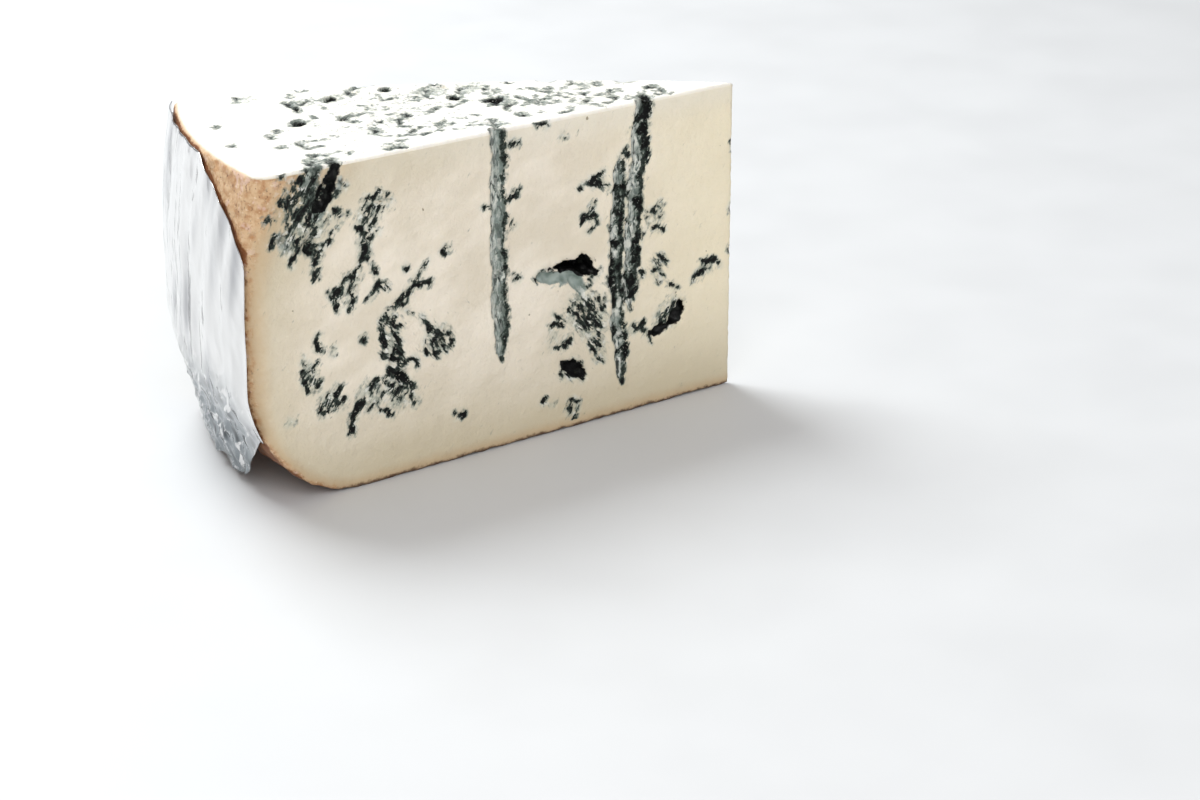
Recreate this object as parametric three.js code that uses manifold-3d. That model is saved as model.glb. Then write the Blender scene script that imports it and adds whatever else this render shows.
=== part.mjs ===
// A wedge of firm blue-veined cheese, cut from half a wheel, with the foil that covers its curved rind.
// Millimetres, +Z up. The wedge is drawn with the wheel's axis as its origin: the front cut lies on y = 0,
// the rind is towards -x and the tip towards +x. The last lines stand the pair on its bottom centre.
import * as THREE from 'three';
import { mergeVertices } from 'three/addons/utils/BufferGeometryUtils.js';
import Module from 'manifold-3d';

// Driving dimensions of the wedge
const HEIGHT = 84; // the wheel was cut flat across at half its height
const RIND_RADIUS = 149; // the wheel's widest radius
const TOP_RADIUS = 145.5; // its radius at the cut top
const BULGE_HEIGHT = 50; // where the side is widest
const RIM_RISE = 34; // the rounded rim between side and base
const RIM_REACH = 30;
const WEDGE_ANGLE = THREE.MathUtils.degToRad(31.3);
const BACK_BOW = 7; // the back cut swells out by this much at its middle
const CORNER_SOFT = 6.5; // softened upright corners at the rind
const TIP_SOFT = 1.5; // how much of the thin tip is worn off
const HEIGHT_STEPS = 20;
const LEVEL_CROWDING = 1.5; // the levels crowd towards the base, where the rim turns
const CUT_STEPS = 12; // along each cut
const RIND_STEPS = 16; // round the rind
const CORNER_STEPS = 4;

// Driving dimensions of the needle's channels
const TRACK_OPENING = HEIGHT + 2; // they run out through the flat top
const TRACK_POINT = 9; // length of the pointed low end
const TRACK_RING = 7; // between the rings that shape a channel
const TRACK_SIDES = 12;

// Driving dimensions of the foil
const FOIL_THICKNESS = 0.6;
const FOIL_GAP = 0.4; // clearance to the rind
const FOIL_LOOSE = 1.3; // how far its crinkles stand off
const FOIL_TOP = 83.2;
const FOIL_BACK_ANGLE = THREE.MathUtils.degToRad(30.7);
const FOIL_PEEL_ANGLE = THREE.MathUtils.degToRad(12.5); // peeled back from the front corner at the top
const FOIL_PEEL_START = 62; // height at which the peeling starts
const FOIL_PEEL_CURVE = 1.7; // the peeled edge curves back by this power
const FOIL_FRONT_ANGLE = THREE.MathUtils.degToRad(0.35);
const FOIL_FRONT_HEM = 17; // height of its lower edge at the front corner
const FOIL_HEM = 2.2; // and along the rest of the rind
const HEM_DROP_ANGLE = THREE.MathUtils.degToRad(7); // the hem comes down over this angle
const SKIRT_RADIUS = 141.5; // the loose foil hangs past the rim, down to here
const FOIL_COLUMNS = 42;
const FOIL_ROWS = 16;

const { clamp, lerp, smoothstep } = THREE.MathUtils;
const wasm = await Module();
wasm.setup();

// The wheel's radius at a height: a slightly swollen side above a rounded rim
function wheelRadius(z) {
  const above = Math.max(0, (z - BULGE_HEIGHT) / (HEIGHT - BULGE_HEIGHT));
  const below = clamp(1 - z / RIM_RISE, 0, 1);
  const side = RIND_RADIUS - (RIND_RADIUS - TOP_RADIUS) * above ** 2;
  return side - RIM_REACH * (1 - Math.sqrt(1 - below ** 2));
}

// A point at an angle from the front cut, on a circle round the wheel's axis
function aroundAxis(radius, angle) {
  return new THREE.Vector2(-radius * Math.cos(angle), radius * Math.sin(angle));
}

// The back cut seen from above, from the rind to the tip, swelling outwards
function backCut() {
  const rindEnd = aroundAxis(RIND_RADIUS - CORNER_SOFT, WEDGE_ANGLE);
  const tipEnd = aroundAxis(2 * TIP_SOFT, WEDGE_ANGLE);
  const outward = new THREE.Vector2(Math.sin(WEDGE_ANGLE), Math.cos(WEDGE_ANGLE));
  const middle = rindEnd.clone().add(tipEnd).multiplyScalar(0.5);
  return new THREE.QuadraticBezierCurve(rindEnd, middle.addScaledVector(outward, 2 * BACK_BOW), tipEnd);
}

// The wedge seen from above, at the wheel's widest radius
function wedgeOutline() {
  const cornerAngle = CORNER_SOFT / RIND_RADIUS;
  const backAngle = WEDGE_ANGLE - cornerAngle;
  const tip = new THREE.Vector2(-TIP_SOFT, 0);
  const frontEnd = aroundAxis(RIND_RADIUS - CORNER_SOFT, 0);
  const rindStart = aroundAxis(RIND_RADIUS, cornerAngle);
  const rindEnd = aroundAxis(RIND_RADIUS, backAngle);
  const back = backCut();
  const sides = [
    [new THREE.LineCurve(tip, frontEnd), CUT_STEPS],
    [new THREE.QuadraticBezierCurve(frontEnd, aroundAxis(RIND_RADIUS, 0), rindStart), CORNER_STEPS],
    [new THREE.EllipseCurve(0, 0, RIND_RADIUS, RIND_RADIUS, Math.PI - cornerAngle, Math.PI - backAngle, true),
      RIND_STEPS],
    [new THREE.QuadraticBezierCurve(rindEnd, aroundAxis(RIND_RADIUS, WEDGE_ANGLE), back.v0), CORNER_STEPS],
    [back, CUT_STEPS],
  ];
  const points = sides.flatMap(([curve, steps]) => curve.getPoints(steps).slice(1));
  return new THREE.Shape([tip, ...points]);
}

// Calls change(vertex) on every vertex of a geometry
function reshape(geometry, change) {
  const place = geometry.getAttribute('position');
  const vertex = new THREE.Vector3();
  for (let i = 0; i < place.count; i += 1) {
    change(vertex.fromBufferAttribute(place, i));
    place.setXYZ(i, vertex.x, vertex.y, vertex.z);
  }
  return geometry;
}

function mergedGeometry(geometry) {
  const bare = geometry.clone();
  bare.deleteAttribute('normal');
  bare.deleteAttribute('uv');
  return mergeVertices(bare);
}

function solidOf(geometry) {
  const merged = mergedGeometry(geometry);
  const vertProperties = Float32Array.from(merged.getAttribute('position').array);
  const triVerts = Uint32Array.from(merged.index.array);
  return new wasm.Manifold(new wasm.Mesh({ numProp: 3, vertProperties, triVerts }));
}

function geometryOf(solid) {
  const { vertProperties, triVerts } = solid.getMesh();
  const geometry = new THREE.BufferGeometry();
  geometry.setAttribute('position', new THREE.BufferAttribute(vertProperties, 3));
  geometry.setIndex(new THREE.BufferAttribute(triVerts, 1));
  geometry.computeVertexNormals();
  return geometry;
}

// The plain wedge: its outline drawn up in levels, each shrunk towards the axis to the wheel's radius
function plainWedge() {
  const body = new THREE.ExtrudeGeometry(wedgeOutline(), {
    depth: 1, steps: HEIGHT_STEPS, bevelEnabled: false,
  });
  return reshape(body, (vertex) => {
    const z = HEIGHT * vertex.z ** LEVEL_CROWDING;
    const shrink = wheelRadius(z) / RIND_RADIUS;
    vertex.set(vertex.x * shrink, vertex.y * shrink, z);
  });
}

// The channel that a piercing needle left, cut open along its length by a cut face.
// It runs from its pointed low end to the open top, and sways sideways a little in between.
function needleTrack({ low, high = TRACK_OPENING, lowX, highX, sway = 0, radius }) {
  const shoulder = low + TRACK_POINT;
  const rings = Math.ceil((high - shoulder) / TRACK_RING);
  const profile = [new THREE.Vector2(0, low), new THREE.Vector2(0.65 * radius, low + 0.35 * TRACK_POINT)];
  for (let i = 0; i <= rings; i += 1) {
    const swell = 1 + 0.12 * Math.sin(2.3 * i);
    profile.push(new THREE.Vector2(radius * swell, lerp(shoulder, high, i / rings)));
  }
  profile.push(new THREE.Vector2(0, high));
  const track = new THREE.LatheGeometry(profile, TRACK_SIDES).rotateX(Math.PI / 2);
  return reshape(track, (vertex) => {
    const along = (vertex.z - low) / (high - low);
    vertex.x += lerp(lowX, highX, along) + sway * Math.sin(Math.PI * along);
  });
}

// A ragged hollow: an oval, uneven by a fifth, tilted in the plane of the front cut
function hollow(x, y, z, radii, tilt = 0) {
  const oval = mergedGeometry(new THREE.IcosahedronGeometry(1, 1));
  reshape(oval, (vertex) => {
    const uneven = Math.sin(5 * vertex.x + x) * Math.cos(4 * vertex.z + z) + 0.5 * Math.sin(7 * vertex.y);
    vertex.multiplyScalar(1 + 0.13 * uneven);
  });
  return oval.scale(...radii).rotateY(THREE.MathUtils.degToRad(tilt)).translate(x, y, z);
}

// A winding hollow in the front cut: balls with x, z and radius, one more halfway to each next,
// and a depth as a share of their radius
function windingHollow(depth, balls) {
  const halfway = balls.slice(1).map((ball, i) => ball.map((value, k) => lerp(balls[i][k], value, 0.5)));
  return [...balls, ...halfway].map(([x, z, radius]) => hollow(x, 0, z, [radius, depth * radius, radius]));
}

// What the needle and the mould opened in the front cut, as x and z on it
function frontHollows() {
  const crescent = [
    [-60, 45, 1], [-57, 45, 1.2], [-54, 45, 1.6],
    [-51.5, 44.3, 2.4], [-49.3, 42.8, 2], [-47.3, 41.6, 1.1],
  ];
  const ramp = [
    [-64, 43, 1.3], [-61, 42.2, 1.7], [-57.5, 42, 1.6],
    [-54.5, 41.2, 1.7], [-52.6, 39.4, 1.9], [-51.4, 37.2, 1.2],
  ];
  const pocket = [
    [-27, 20.4, 1.5], [-25, 20.8, 1], [-22.5, 21.6, 0.9],
    [-20.4, 23.2, 1.9], [-18.8, 25.6, 1.7], [-19.4, 28, 0.9],
  ];
  const bluePit = [[-124.1, 81.8, 0.9], [-125.4, 79.2, 1.4], [-126.3, 77.4, 2.1], [-127, 75.8, 1.4]];
  const pitFloor = [[-127.4, 76.2, 1.7], [-128.6, 73.8, 1.9], [-129.4, 71.8, 1.2]];
  const blot = [[-57.5, 18, 0.9], [-55, 17, 1.8], [-52, 15.2, 1.6], [-50.8, 13.8, 1]];
  const pits = [
    [-131.5, 65, 1.8], [-108.5, 31, 1.5], [-106.5, 26, 1.6], [-95, 32, 1.8],
    [-121, 17, 1.1], [-119.5, 51, 1.3], [-109.5, 40, 1.2], [-139, 68, 1.3],
  ];
  return [
    needleTrack({ low: 23, lowX: -76.4, highX: -76.4, sway: -0.8, radius: 2.05 }),
    needleTrack({ low: 28, lowX: -36, highX: -31, sway: -0.6, radius: 2.15 }),
    needleTrack({ low: 8, high: 71, lowX: -38, highX: -38.6, sway: -2, radius: 1.7 }),
    ...windingHollow(3.5, crescent),
    ...windingHollow(1.2, ramp),
    ...windingHollow(2, pocket),
    ...windingHollow(1.3, bluePit),
    ...windingHollow(0.8, pitFloor),
    ...windingHollow(1.2, blot),
    ...pits.map(([x, z, size]) => hollow(x, 0, z, [size, size, 1.3 * size], -30)),
  ];
}

// Pits in the flat top, as x and y on it
function topHollows() {
  const pits = [
    [-112.5, 34.5, 2], [-101.5, 32, 1.4], [-94, 49.5, 1.8], [-106, 47, 1.5], [-85, 52, 1.4],
    [-78, 49, 1.6], [-68.5, 31, 1.8], [-61, 23.5, 2.2], [-64, 42, 1.6], [-29, 3, 1.8],
  ];
  return pits.map(([x, y, size]) => hollow(x, y, HEIGHT, [0.7 * size, 0.9 * size, 0.8 * size]));
}

// The back cut: a place along it as a distance from the tip, and the hollows that it opens
function backHollows() {
  const place = (distance) => backCut().getPointAt(1 - distance / RIND_RADIUS);
  const tracks = [[50, 14, 2.4], [98, 30, 2.6]].map(([distance, low, radius]) => {
    const at = place(distance);
    return needleTrack({ low, lowX: 0, highX: 0, sway: 0.8, radius }).translate(at.x, at.y, 0);
  });
  const pits = [[28, 50, 2.6], [70, 62, 2.4], [76, 26, 2], [118, 58, 3], [124, 36, 2]];
  const holes = pits.map(([distance, z, size]) => {
    const at = place(distance);
    return hollow(at.x, at.y, z, [1.4 * size, 1.2 * size, size]);
  });
  return [...tracks, ...holes];
}

function cheeseWedge() {
  let body = solidOf(plainWedge());
  for (const cutter of [...frontHollows(), ...topHollows(), ...backHollows()]) {
    body = body.subtract(solidOf(cutter));
  }
  const paste = new THREE.MeshStandardMaterial({ color: 0xdcd4c3, roughness: 0.55, metalness: 0 });
  const mesh = new THREE.Mesh(geometryOf(body), paste);
  mesh.name = 'cheese_wedge';
  return mesh;
}

// The height of the foil's lower edge at an angle from the front cut: torn unevenly
function hemHeight(angle) {
  const down = smoothstep(angle, 0, HEM_DROP_ANGLE);
  const torn = 0.8 * (1 + Math.sin(37 * angle) * Math.cos(83 * angle));
  return lerp(FOIL_FRONT_HEM, FOIL_HEM, down) + torn;
}

// The angle of the foil's front edge at a height
function frontAngle(z) {
  const peeled = Math.max(0, (z - FOIL_PEEL_START) / (HEIGHT - FOIL_PEEL_START));
  return FOIL_FRONT_ANGLE + FOIL_PEEL_ANGLE * peeled ** FOIL_PEEL_CURVE;
}

// How far the foil stands off the rind: upright crinkles, stronger towards the loose hem
function crinkle(angle, z) {
  const upright = Math.sin(66 * angle + 0.03 * z) + 0.6 * Math.sin(131 * angle - 0.05 * z + 1);
  const across = 0.5 * Math.sin(0.31 * z + 9 * angle) * Math.sin(29 * angle);
  const amount = FOIL_LOOSE * (1 - 0.45 * smoothstep(z, 10, HEIGHT));
  return amount * (0.5 + 0.5 * clamp((upright + across) / 1.7, -1, 1));
}

// The foil's inner radius: it follows the side, and hangs nearly straight past the rim
function foilRadius(angle, z) {
  const hanging = z < RIM_RISE ? lerp(SKIRT_RADIUS, RIND_RADIUS, z / RIM_RISE) : 0;
  return Math.max(wheelRadius(z), hanging) + FOIL_GAP + crinkle(angle, z);
}

function foilWrap() {
  const sheet = new THREE.BoxGeometry(1, 1, 1, FOIL_COLUMNS, FOIL_ROWS, 1);
  reshape(sheet, (vertex) => {
    const across = 0.5 - vertex.x;
    const up = vertex.y + 0.5;
    const roughAngle = across * FOIL_BACK_ANGLE;
    const z = lerp(hemHeight(roughAngle), FOIL_TOP, up);
    const angle = lerp(frontAngle(z), FOIL_BACK_ANGLE, across);
    const thickness = vertex.z > 0 ? FOIL_THICKNESS : 0;
    const at = aroundAxis(foilRadius(angle, z) + thickness, angle);
    vertex.set(at.x, at.y, z);
  });
  const foil = new THREE.MeshStandardMaterial({ color: 0xe6e8ea, roughness: 0.3, metalness: 1 });
  const mesh = new THREE.Mesh(mergedGeometry(sheet), foil);
  mesh.name = 'foil_wrap';
  return mesh;
}

const group = new THREE.Group();
group.add(cheeseWedge(), foilWrap());
const box = new THREE.Box3().setFromObject(group);
const middle = box.getCenter(new THREE.Vector3());
group.position.set(-middle.x, -middle.y, -box.min.z);
export default group;
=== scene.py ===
"""A wedge of firm blue-veined cheese with foil over its rind, on a pale floor in soft studio light.

The shapes are worked out in millimetres round the wheel's axis: the front cut lies on y = 0, the rind is
towards -x and the tip towards +x. They are moved into the frame, in metres, when a mesh is made.
"""
import math

import bpy
import numpy as np
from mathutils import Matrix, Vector


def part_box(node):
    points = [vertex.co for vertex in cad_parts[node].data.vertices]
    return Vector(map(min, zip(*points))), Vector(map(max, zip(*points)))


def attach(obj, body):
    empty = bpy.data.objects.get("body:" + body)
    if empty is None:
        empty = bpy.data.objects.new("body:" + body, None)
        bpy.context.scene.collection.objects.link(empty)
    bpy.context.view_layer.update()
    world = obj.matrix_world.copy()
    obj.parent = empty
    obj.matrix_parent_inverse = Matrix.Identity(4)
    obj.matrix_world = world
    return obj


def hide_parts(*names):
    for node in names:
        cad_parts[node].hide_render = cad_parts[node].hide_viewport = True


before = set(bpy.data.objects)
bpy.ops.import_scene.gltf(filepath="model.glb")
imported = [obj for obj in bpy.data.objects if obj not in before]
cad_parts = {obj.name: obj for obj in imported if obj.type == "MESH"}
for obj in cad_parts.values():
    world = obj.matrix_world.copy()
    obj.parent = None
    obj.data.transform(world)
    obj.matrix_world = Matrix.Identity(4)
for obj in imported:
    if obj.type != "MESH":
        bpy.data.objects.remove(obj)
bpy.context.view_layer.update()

# Driving dimensions of the wedge, in millimetres
MM = 0.001
WEDGE_LOW, WEDGE_HIGH = (np.array(corner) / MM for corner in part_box("cheese_wedge"))
HEIGHT = WEDGE_HIGH[2] - WEDGE_LOW[2]
RIND_RADIUS = 149.0  # the wheel's widest radius
TOP_RADIUS = 145.5  # its radius at the cut top
BULGE_HEIGHT = 50.0  # where the side is widest
RIM_RISE = 34.0  # the rounded rim between side and base
RIM_REACH = 30.0
WEDGE_ANGLE = math.radians(31.3)
BACK_BOW = 7.0  # the back cut swells out by this much at its middle
BACK_START = 3.0  # the back cut runs between these distances from the axis
BACK_END = 142.5
TIP_WORN = 1.2  # the base starts this far from the axis
RIND_CORNER = 5.5  # radius of the upright corners at the rind
CUT_CORNER = 1.0  # radius of the edges between cuts
AXIS = np.array([WEDGE_HIGH[0] + TIP_WORN, WEDGE_LOW[1], WEDGE_LOW[2]])

# The visible paste is meshed on a grid of cells this large
CELL = np.array([0.67, 0.97, 0.67])
MARGIN = 3.0  # empty space round it

# Driving dimensions of the foil
FOIL_GAP = 0.5
FOIL_SHEET = 0.12
FOIL_TOP = 83.2
FOIL_BACK_ANGLE = math.radians(30.7)
FOIL_PEEL_ANGLE = math.radians(12.5)
FOIL_PEEL_START = 62.0
FOIL_PEEL_CURVE = 1.7  # the peeled edge curves back by this power
FOIL_FRONT_ANGLE = math.radians(0.35)
FOIL_FRONT_HEM = 17.0
FOIL_HEM = 2.2
HEM_DROP_ANGLE = math.radians(7.0)
SKIRT_RADIUS = 141.5
FOIL_COLUMNS = 230
FOIL_ROWS = 130

# The photograph's view: what the middle of the picture looks at, and from where
LOOK_AT = np.array([-37.1, 11.1, 0.0])
VIEW_DISTANCE = 744.0
VIEW_AZIMUTH = math.radians(37.2)
VIEW_PITCH = math.radians(21.45)
FOCAL_WIDTHS = 2787.0 / 1200.0  # focal length as a share of the picture's width
SENSOR = 36.0


def in_frame(points):
    """Turns millimetres round the wheel's axis into metres in the frame."""
    return (np.asarray(points, dtype=float) + AXIS) * MM


def smooth(value, low, high):
    """Rises smoothly from 0 at low to 1 at high."""
    part = np.clip((value - low) / (high - low), 0, 1)
    return part * part * (3 - 2 * part)


# Noise

LATTICE = 64
TABLES = {}


def value_noise(points, size, seed):
    """Smooth lumps about size across, from -1 to 1. size may differ along the three axes."""
    if seed not in TABLES:
        TABLES[seed] = np.random.default_rng(seed).uniform(-1, 1, (LATTICE,) * 3)
    table = TABLES[seed]
    place = np.asarray(points) / size + 17.3 * seed
    corner = np.floor(place).astype(int)
    part = place - corner
    part = part * part * (3 - 2 * part)
    total = np.zeros(len(place))
    for dx in (0, 1):
        for dy in (0, 1):
            for dz in (0, 1):
                step = np.array([dx, dy, dz])
                weight = np.prod(np.where(step, part, 1 - part), axis=1)
                cell = (corner + step) % LATTICE
                total += weight * table[cell[:, 0], cell[:, 1], cell[:, 2]]
    return total


def rough_noise(points, size, seed, octaves=3):
    """Lumps with smaller lumps on them."""
    size = np.asarray(size, dtype=float)
    layers = [0.5**i * value_noise(points, size * 0.5**i, seed + i) for i in range(octaves)]
    return sum(layers)


# The wedge as distances: negative inside, positive outside


def wheel_radius(z):
    """The wheel's radius at a height: a slightly swollen side above a rounded rim."""
    above = np.clip((z - BULGE_HEIGHT) / (HEIGHT - BULGE_HEIGHT), 0, 1)
    below = np.clip(1 - z / RIM_RISE, 0, 1)
    side = RIND_RADIUS - (RIND_RADIUS - TOP_RADIUS) * above**2
    return side - RIM_REACH * (1 - np.sqrt(1 - below**2))


def wheel_distance(points):
    """Distance to the wheel's side, rim and base."""
    radius = np.hypot(points[:, 0], points[:, 1])
    z = points[:, 2]
    out = (radius - (RIND_RADIUS - RIM_REACH)) / RIM_REACH
    down = (RIM_RISE - z) / RIM_RISE
    turned = np.hypot(out, down)
    slope = np.hypot(out / RIM_REACH, down / RIM_RISE) + 1e-6
    rim = (turned - 1) * turned / slope
    side = radius - wheel_radius(np.maximum(z, RIM_RISE))
    return np.where((out > 0) & (down > 0), rim, np.maximum(side, -z))


def back_distance(points):
    """Distance to the back cut, which swells out and shrinks towards the axis as the wheel does."""
    shrink = wheel_radius(np.clip(points[:, 2], 0, HEIGHT)) / RIND_RADIUS
    x, y = points[:, 0] / shrink, points[:, 1] / shrink
    along = y * math.sin(WEDGE_ANGLE) - x * math.cos(WEDGE_ANGLE)
    out = x * math.sin(WEDGE_ANGLE) + y * math.cos(WEDGE_ANGLE)
    part = (along - BACK_START) / (BACK_END - BACK_START)
    slope = 4 * BACK_BOW * (1 - 2 * part) / (BACK_END - BACK_START)
    return (out - 4 * BACK_BOW * part * (1 - part)) * shrink / np.hypot(1, slope)


def meet(a, b, radius):
    """Distance to what lies inside both a and b, with a rounded edge between them."""
    flat = np.minimum(np.maximum(a, b), -radius)
    return flat + np.hypot(np.maximum(a + radius, 0), np.maximum(b + radius, 0))


def body_distance(points):
    """Distance to the whole wedge before anything is hollowed out of it."""
    cuts = meet(-points[:, 1], back_distance(points), CUT_CORNER)
    corner = CUT_CORNER + (RIND_CORNER - CUT_CORNER) * smooth(points[:, 2], 4, 24)
    wedge = meet(cuts, wheel_distance(points), corner)
    return meet(wedge, points[:, 2] - HEIGHT, CUT_CORNER)


# Channels of the piercing needle: low end, high end, x at both, sway between, radius, and y of the axis
NEEDLE_TRACKS = [
    {"low": 23, "high": 90, "x": (-76.4, -76.4), "sway": -0.8, "radius": 2.05},
    {"low": 28, "high": 90, "x": (-36.0, -31.0), "sway": -0.6, "radius": 2.15},
    {"low": 8, "high": 71, "x": (-38.0, -38.6), "sway": -2.0, "radius": 1.7},
]
NEEDLE_POINT = 9.0

# Hollows of the front cut as chains of balls: how deep each goes as a share of its radius, then the x, z
# and radius of its balls
CRESCENT = (3.5, [
    (-63.2, 44.8, 0.4), (-60, 44.7, 0.8), (-57, 44.7, 1.1), (-54, 44.8, 1.5), (-51.5, 44.1, 2.3),
    (-49.3, 42.6, 2.1), (-47.3, 41.4, 1.1), (-45.8, 41, 0.4),
])
RAMP = (1.2, [
    (-64, 43, 1.3), (-61, 42.2, 1.7), (-57.5, 42, 1.6), (-54.5, 41.2, 1.7), (-52.6, 39.4, 1.9),
    (-51.4, 37.2, 1.2), (-51.6, 35.9, 0.5),
])
DARK_POCKET = (2.0, [
    (-28.2, 20.2, 0.7), (-26.6, 20.6, 1.5), (-24.8, 20.8, 1.0), (-22.5, 21.6, 0.5), (-20.4, 23.2, 1.9),
    (-18.8, 25.6, 1.7), (-19.4, 28, 0.6), (-20.5, 30.5, 0.7),
])
BLUE_PIT = (1.3, [
    (-123.0, 84.2, 0.8), (-124.1, 81.8, 1.2), (-125.5, 79.0, 1.8), (-126.7, 76.6, 2.1), (-128.0, 74.4, 1.5),
])
PIT_FLOOR = (0.8, [(-127.6, 75.6, 1.7), (-128.6, 73.6, 1.9), (-129.5, 71.6, 1.2)])
BLACK_BLOT = (1.2, [(-57.5, 18, 0.8), (-55, 17, 1.8), (-52, 15.2, 1.6), (-50.8, 13.8, 1.0)])
DARK_CHAINS = [CRESCENT, DARK_POCKET, BLUE_PIT, BLACK_BLOT]
SLATE_CHAINS = [RAMP, PIT_FLOOR]

# Smoky grey patches that lie flat on the front cut, as chains too
SMOKY_PATCHES = [
    (1.0, [(-129.5, 84.5, 2.6), (-131, 80, 2.8), (-131, 75.5, 1.8)]),
    (1.0, [(-139.6, 68.4, 1.8), (-137.8, 66.0, 2.1)]),
    (1.0, [(-122.6, 80, 0.9), (-122.9, 77.5, 1.2)]),
    (1.0, [(-127.4, 75, 1.6), (-128.4, 72.6, 1.3)]),
    (1.0, [(-131.8, 65.2, 1.9), (-131.2, 62.8, 1.6)]),
    (1.0, [(-34, 50, 1.2), (-34.3, 45, 1.0)]),
]

# Small pits: two coordinates on their cut, and a radius
FRONT_PITS = [
    (-131.5, 65, 1.8), (-108.5, 31, 1.5), (-106.5, 26, 1.6), (-95, 32, 1.8), (-121, 17, 1.1),
    (-119.5, 51, 1.3), (-109.5, 40, 1.2), (-139, 68, 1.3), (-57, 78.8, 0.7), (-93, 56.3, 0.8),
]
TOP_PITS = [
    (-112.5, 34.5, 2.0), (-101.5, 32, 1.4), (-94, 49.5, 1.8), (-106, 47, 1.5), (-85, 52, 1.4),
    (-78, 49, 1.6), (-68.5, 31, 1.8), (-61, 23.5, 2.2), (-64, 42, 1.6), (-29, 3, 1.8),
]
BACK_TRACKS = [(50, 14, 2.4), (98, 30, 2.6)]  # distance from the tip, low end, radius
BACK_PITS = [(28, 50, 2.6), (70, 62, 2.4), (76, 26, 2.0), (118, 58, 3.0), (124, 36, 2.0)]


def on_back_cut(distance):
    """The x and y of a place on the back cut, from its distance to the tip."""
    part = (distance * (BACK_END / RIND_RADIUS) - BACK_START) / (BACK_END - BACK_START)
    out = 4 * BACK_BOW * part * (1 - part)
    x = -distance * math.cos(WEDGE_ANGLE) + out * math.sin(WEDGE_ANGLE)
    y = distance * math.sin(WEDGE_ANGLE) + out * math.cos(WEDGE_ANGLE)
    return x, y


def all_tracks():
    back = []
    for distance, low, radius in BACK_TRACKS:
        x, y = on_back_cut(distance)
        back.append({"low": low, "high": 90, "x": (x, x), "sway": 0.8, "radius": radius, "y": y})
    return NEEDLE_TRACKS + back


def all_ovals():
    ovals = [((x, 0, z), (size, size, 1.3 * size), 30) for x, z, size in FRONT_PITS]
    ovals += [((x, y, HEIGHT), (0.7 * size, 0.9 * size, 0.8 * size), 0) for x, y, size in TOP_PITS]
    for distance, z, size in BACK_PITS:
        ovals.append(((*on_back_cut(distance), z), (1.4 * size, 1.2 * size, size), 0))
    return ovals


def track_middle(z, track):
    """The x of a needle channel's middle at a height."""
    along = np.clip((z - track["low"]) / (track["high"] - track["low"]), 0, 1)
    straight = track["x"][0] + (track["x"][1] - track["x"][0]) * along
    return straight + track["sway"] * np.sin(math.pi * along) + 0.35 * np.sin(0.45 * z + track["x"][0])


def track_distance(points, track):
    """Distance to one needle channel, pointed at its low end and uneven in width."""
    x, y, z = points.T
    point = np.clip((z - track["low"]) / NEEDLE_POINT, 0, 1) ** 0.6
    lid = smooth(z, track["high"], track["high"] - 4)
    radius = track["radius"] * point * lid * (1 + 0.14 * np.sin(0.9 * z) * np.sin(0.37 * z + 1))
    away = np.hypot(x - track_middle(z, track), y - track.get("y", 0.0))
    return away - radius + np.maximum(track["low"] - z, 0) + np.maximum(z - track["high"], 0)


def track_side(points):
    """How far right of the nearest channel's middle a place lies, as a share of the channel's radius."""
    tracks = all_tracks()
    closest = np.argmin([track_distance(points, track) for track in tracks], axis=0)
    offsets = [(points[:, 0] - track_middle(points[:, 2], track)) / track["radius"] for track in tracks]
    return np.clip(np.choose(closest, offsets), -2, 2)


def oval_distance(points, oval):
    """Distance to one oval hollow."""
    middle, radii, tilt = oval
    turn = math.radians(tilt)
    x, y, z = (points - np.array(middle)).T
    local = np.stack([
        x * math.cos(turn) - z * math.sin(turn), y, x * math.sin(turn) + z * math.cos(turn),
    ], axis=1) / np.array(radii)
    near = np.linalg.norm(local, axis=1)
    return near * (near - 1) / (np.linalg.norm(local / np.array(radii), axis=1) + 1e-6)


def chain_distance(points, chain):
    """Distance to one chain of balls on the front cut."""
    depth, balls = chain
    x, y, z = points.T
    best = np.full(len(points), 99.0)
    for (x0, z0, r0), (x1, z1, r1) in zip(balls, balls[1:]):
        run = np.array([x1 - x0, z1 - z0])
        part = np.clip(((x - x0) * run[0] + (z - z0) * run[1]) / (run @ run), 0, 1)
        away = np.sqrt((x - x0 - part * run[0]) ** 2 + (z - z0 - part * run[1]) ** 2 + (y / depth) ** 2)
        best = np.minimum(best, away - r0 - part * (r1 - r0))
    return best


def nearest(distances):
    return np.min(list(distances), axis=0)


def chains_distance(points, chains):
    return nearest(chain_distance(points, chain) for chain in chains)


def dark_distance(points):
    """Distance to the deep dark hollows, whose edges are ragged."""
    ragged = 0.65 * value_noise(points, 2.2, 33) + 0.45 * value_noise(points, 1.0, 34)
    return chains_distance(points, DARK_CHAINS) + ragged


def hollow_distance(points):
    """Distance to the nearest needle channel or hollow."""
    ragged = 0.35 * value_noise(points, 2.4, 31) + 0.25 * value_noise(points, 1.2, 32)
    return nearest([
        *(track_distance(points, track) + 0.5 * ragged for track in all_tracks()),
        *(oval_distance(points, oval) + 1.5 * ragged for oval in all_ovals()),
        chains_distance(points, SLATE_CHAINS) + 0.5 * ragged,
        dark_distance(points),
    ])


def paste_distance(points):
    """Distance to the wedge as it is seen, with everything hollowed out."""
    distance = body_distance(points)
    near = np.abs(distance) < 14
    result = distance.copy()
    result[near] = meet(distance[near], -hollow_distance(points[near]), 0.35)
    return result


# Meshing: a vertex in each cell that the surface crosses, and a quad round each edge that it crosses


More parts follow.
